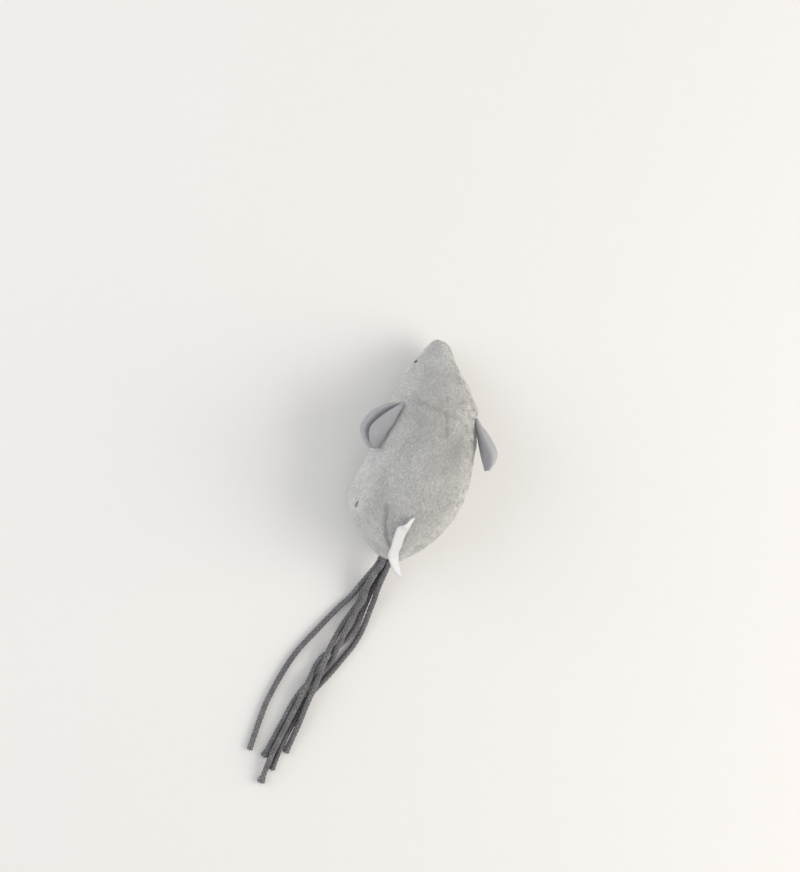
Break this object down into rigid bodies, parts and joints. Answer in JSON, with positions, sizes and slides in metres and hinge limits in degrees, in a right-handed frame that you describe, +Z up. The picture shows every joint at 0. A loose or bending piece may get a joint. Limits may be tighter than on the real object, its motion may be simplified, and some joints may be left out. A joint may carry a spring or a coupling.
{
  "type": "catnip mouse",
  "caption": "Stuffed grey plush cat toy mouse with folded suede ears, a blank seam label and a tail of soft cords, filled with catnip",
  "frame": {"origin": "on the floor under the middle of the belly, at the centre of the flat it rests on", "axes": "+Z up, the nose points to -Y and the tail to +Y, +X is the mouse's left side"},
  "size_m": [0.0491, 0.148, 0.0342],
  "materials": {
    "plush": "short plush pile",
    "suede_cloth": "smooth brushed suede cloth",
    "satin": "woven satin ribbon",
    "cord": "round braided cord",
    "sewing_thread": "spun thread",
    "embroidery_thread": "satin stitch",
    "stuffing": "loose polyester fibre",
    "catnip": "crushed dried leaf"
  },
  "bodies": {
    "mouse": {"left_side_panel": "plush", "right_side_panel": "plush", "belly_panel": "plush", "stuffing": "stuffing", "catnip": "catnip", "back_seam_thread": "sewing_thread", "left_belly_seam_thread": "sewing_thread", "right_belly_seam_thread": "sewing_thread", "flank_stitch": "embroidery_thread", "left_eye": "embroidery_thread", "right_eye": "embroidery_thread"},
    "left_ear": {"left_ear": "suede_cloth"},
    "right_ear": {"right_ear": "suede_cloth"},
    "label": {"seam_label": "satin"},
    "tail": {"tail_cord_1": "cord", "tail_cord_2": "cord", "tail_cord_3": "cord", "tail_cord_4": "cord"},
    "loose_cord": {"loose_tail_cord": "cord"}
  },
  "joints": [
    {"name": "left_ear_swing", "type": "hinge", "parent": "mouse", "child": "left_ear", "pos_m": [0.0131, -0.01731, 0.01639], "axis": [0.2251, 0.108, -0.9683], "range_deg": [-3, 55], "stiffness_Nm_per_rad": 0.0005},
    {"name": "right_ear_swing", "type": "hinge", "parent": "mouse", "child": "right_ear", "pos_m": [-0.01265, -0.01883, 0.01596], "axis": [-0.309, -0.468, 0.828], "range_deg": [-8, 50], "stiffness_Nm_per_rad": 0.0005},
    {"name": "label_flap", "type": "hinge", "parent": "mouse", "child": "label", "pos_m": [0.00149, 0.0234, 0.02328], "axis": [-0.0981, 0.7108, -0.6966], "range_deg": [-35, 12], "stiffness_Nm_per_rad": 0.0002},
    {"name": "tail_lift", "type": "hinge", "parent": "mouse", "child": "tail", "pos_m": [0.0002, 0.031, 0.0092], "axis": [1, 0, 0], "range_deg": [0, 45]},
    {"name": "loose_cord_swing", "type": "hinge", "parent": "mouse", "child": "loose_cord", "pos_m": [0.0021, 0.0313, 0.0039], "axis": [0, 0, -1], "range_deg": [0, 40]}
  ]
}
